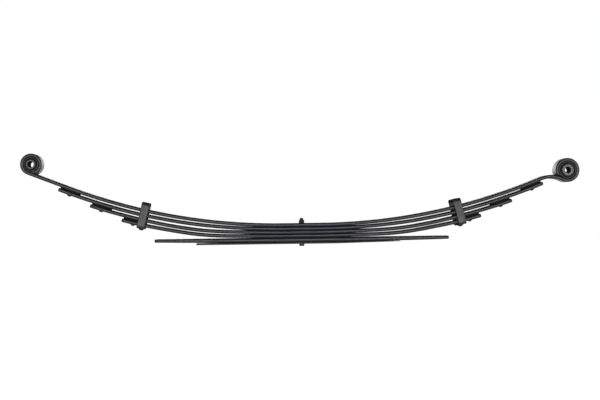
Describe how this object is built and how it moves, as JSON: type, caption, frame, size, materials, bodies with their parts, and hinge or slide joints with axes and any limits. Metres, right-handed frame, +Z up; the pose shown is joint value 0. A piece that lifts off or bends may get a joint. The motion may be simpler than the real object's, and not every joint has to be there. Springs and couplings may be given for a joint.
{
  "type": "leaf spring",
  "caption": "Curved multi-leaf truck suspension spring with rolled, rubber-bushed eyes, rebound clips, tip pads, a flat overload leaf and a centre bolt.",
  "frame": {"origin": "on the centre bolt's axis, at the underside of the leaf pack where the bolt's round head starts", "axes": "+X along the spring to the larger, front eye; +Y across the leaves; +Z up, from the bolt's head to its nut"},
  "size_m": [1.473, 0.0802, 0.253],
  "materials": {
    "spring_paint": "satin",
    "clip_paint": "satin",
    "fastener": "satin",
    "tip_pad": "matte",
    "bushing_shell": "satin",
    "bushing_rubber": "matte",
    "sleeve_steel": "satin"
  },
  "bodies": {
    "leaf_pack": {"main_leaf": "spring_paint", "second_leaf": "spring_paint", "third_leaf": "spring_paint", "fourth_leaf": "spring_paint", "overload_leaf": "spring_paint", "lower_helper_leaf": "spring_paint", "center_bolt": "fastener", "center_nut": "fastener"},
    "rear_arm": {"rear_tip_pad_2": "tip_pad", "rear_tip_rivet_2": "fastener", "rear_tip_pad_3": "tip_pad", "rear_tip_rivet_3": "fastener", "rear_tip_pad_4": "tip_pad", "rear_tip_rivet_4": "fastener", "rear_rebound_clip": "clip_paint", "rear_clip_rivet": "fastener", "rear_bushing_shell": "bushing_shell", "rear_bushing_rubber": "bushing_rubber"},
    "front_arm": {"front_tip_pad_2": "tip_pad", "front_tip_rivet_2": "fastener", "front_tip_pad_3": "tip_pad", "front_tip_rivet_3": "fastener", "front_tip_pad_4": "tip_pad", "front_tip_rivet_4": "fastener", "front_rebound_clip": "clip_paint", "front_clip_rivet": "fastener", "front_bushing_shell": "bushing_shell", "front_bushing_rubber": "bushing_rubber"},
    "rear_sleeve": {"rear_inner_sleeve": "sleeve_steel"},
    "front_sleeve": {"front_inner_sleeve": "sleeve_steel"}
  },
  "joints": [
    {"name": "rear_flex", "type": "hinge", "parent": "leaf_pack", "child": "rear_arm", "pos_m": [-0.282, 0, 0.0519], "axis": [0, -1, 0], "range_deg": [-2, 12], "stiffness_Nm_per_rad": 4580, "deforming": ["main_leaf", "second_leaf", "third_leaf", "fourth_leaf"]},
    {"name": "front_flex", "type": "hinge", "parent": "leaf_pack", "child": "front_arm", "pos_m": [0.282, 0, 0.0519], "axis": [0, 1, 0], "range_deg": [-2, 12], "stiffness_Nm_per_rad": 4580, "deforming": ["main_leaf", "second_leaf", "third_leaf", "fourth_leaf"]},
    {"name": "rear_bushing_twist", "type": "hinge", "parent": "rear_arm", "child": "rear_sleeve", "pos_m": [-0.7092, 0, 0.2182], "axis": [0, 1, 0], "range_deg": [-25, 25], "stiffness_Nm_per_rad": 60},
    {"name": "front_bushing_twist", "type": "hinge", "parent": "front_arm", "child": "front_sleeve", "pos_m": [0.7035, 0, 0.1856], "axis": [0, 1, 0], "range_deg": [-25, 25], "stiffness_Nm_per_rad": 60}
  ]
}
